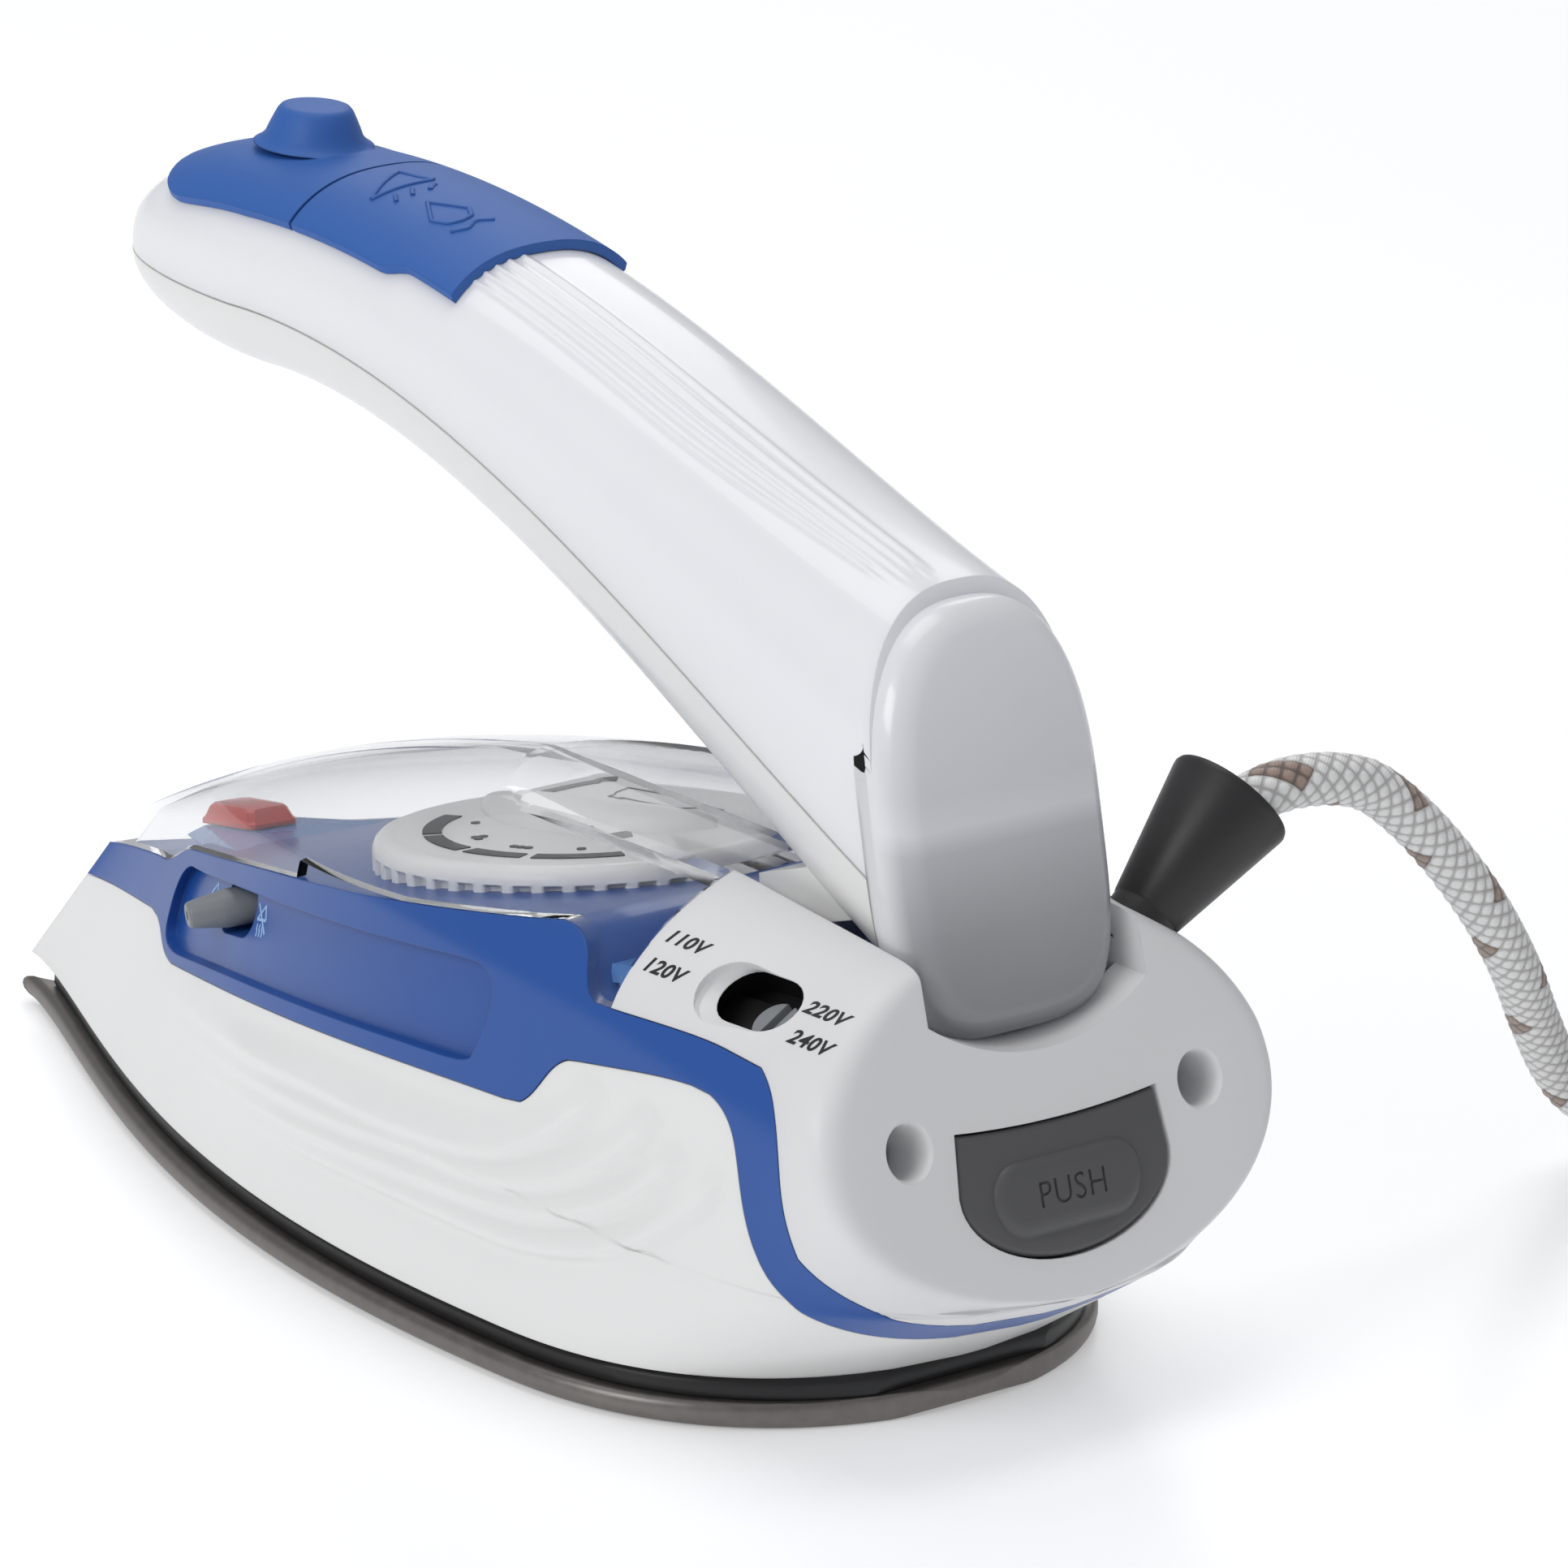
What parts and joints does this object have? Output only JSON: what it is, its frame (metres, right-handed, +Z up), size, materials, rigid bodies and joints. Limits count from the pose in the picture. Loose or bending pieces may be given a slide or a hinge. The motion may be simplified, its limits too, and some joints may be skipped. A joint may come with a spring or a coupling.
{
  "type": "clothes iron",
  "caption": "Folding travel steam iron with a water tank in its curved handle, a dial under a clear dome and a braided cord.",
  "frame": {"origin": "centre of the soleplate's underside, on the plane the iron rests on", "axes": "+X to the pointed nose, +Y to the iron's left side, +Z up from the soleplate"},
  "size_m": [0.2478, 0.2523, 0.1311],
  "materials": {
    "sole_metal": "satin, ceramic-coated",
    "steel": "plain",
    "aluminium_sheet": "plain",
    "black_plastic": "matt",
    "white_plastic": "glossy",
    "blue_plastic": "glossy",
    "deck_plastic": "satin",
    "clear_plastic": "clear and polished",
    "red_lens": "translucent red",
    "lamp_glass": "clear",
    "brass_metal": "plain",
    "ceramic": "matt",
    "grey_plastic": "satin",
    "button_plastic": "satin",
    "tank_plastic": "frosted translucent",
    "hose_silicone": "matt translucent",
    "wire_jacket": "matt",
    "braid": "braided, white with brown marks",
    "plated": "polished"
  },
  "bodies": {
    "casing": {"soleplate": "sole_metal", "heating_element": "steel", "steam_cover": "aluminium_sheet", "insulating_skirt": "black_plastic", "sole_screws": "steel", "lower_shell": "white_plastic", "trim_band": "blue_plastic", "top_deck": "deck_plastic", "clear_dome": "clear_plastic", "lamp_cover": "red_lens", "neon_lamp": "lamp_glass", "thermostat": "ceramic", "thermal_fuse": "ceramic", "drip_valve": "ceramic", "rear_housing": "white_plastic", "housing_screws": "steel", "voltage_switch": "black_plastic", "button_spring": "steel", "hinge_pin": "steel", "water_hose": "hose_silicone", "cord_guard": "black_plastic", "cord_clamp": "white_plastic", "terminal_block": "ceramic", "lead_wires": "wire_jacket", "cord": "braid", "cord_coil": "braid", "coil_tie": "black_plastic", "cord_tail": "braid", "plug": "black_plastic", "plug_pins": "plated"},
    "handle": {"water_tank": "tank_plastic", "handle_grip": "white_plastic", "hinge_barrel": "white_plastic", "filler_pad": "blue_plastic"},
    "flap": {"filler_flap": "blue_plastic"},
    "button": {"release_button": "button_plastic", "latch_hook": "white_plastic"},
    "dial": {"temperature_dial": "white_plastic", "dial_shaft": "brass_metal"},
    "slider": {"steam_slider": "grey_plastic"},
    "needle": {"valve_needle": "steel"},
    "selector": {"voltage_selector": "grey_plastic"}
  },
  "joints": [
    {"name": "handle_fold", "type": "hinge", "parent": "casing", "child": "handle", "pos_m": [-0.064, 0, 0.056], "axis": [0, 1, 0], "range_deg": [0, 27]},
    {"name": "flap_open", "type": "hinge", "parent": "handle", "child": "flap", "pos_m": [0.0296, 0, 0.127], "axis": [0, -1, 0], "range_deg": [0, 100]},
    {"name": "release_press", "type": "slide", "parent": "casing", "child": "button", "axis": [0.9461, 0, -0.3239], "range_m": [0, 0.0025], "stiffness_N_per_m": 300, "deforming": ["button_spring"]},
    {"name": "dial_turn", "type": "hinge", "parent": "casing", "child": "dial", "pos_m": [-0.0158, 0, 0.0531], "axis": [0.1599, 0, 0.9871], "range_deg": [-135, 135]},
    {"name": "steam_slide", "type": "slide", "parent": "casing", "child": "slider", "axis": [-0.862, 0.4611, 0.2105], "range_m": [0, 0.006]},
    {"name": "needle_lift", "type": "slide", "parent": "casing", "child": "needle", "axis": [0, 0, 1], "range_m": [0, 0.0015]},
    {"name": "voltage_slide", "type": "slide", "parent": "casing", "child": "selector", "axis": [0.9976, 0, -0.0698], "range_m": [0, 0.0046]}
  ],
  "couplings": [
    {"joint": "needle_lift", "follows": "steam_slide", "ratio": 0.25}
  ]
}
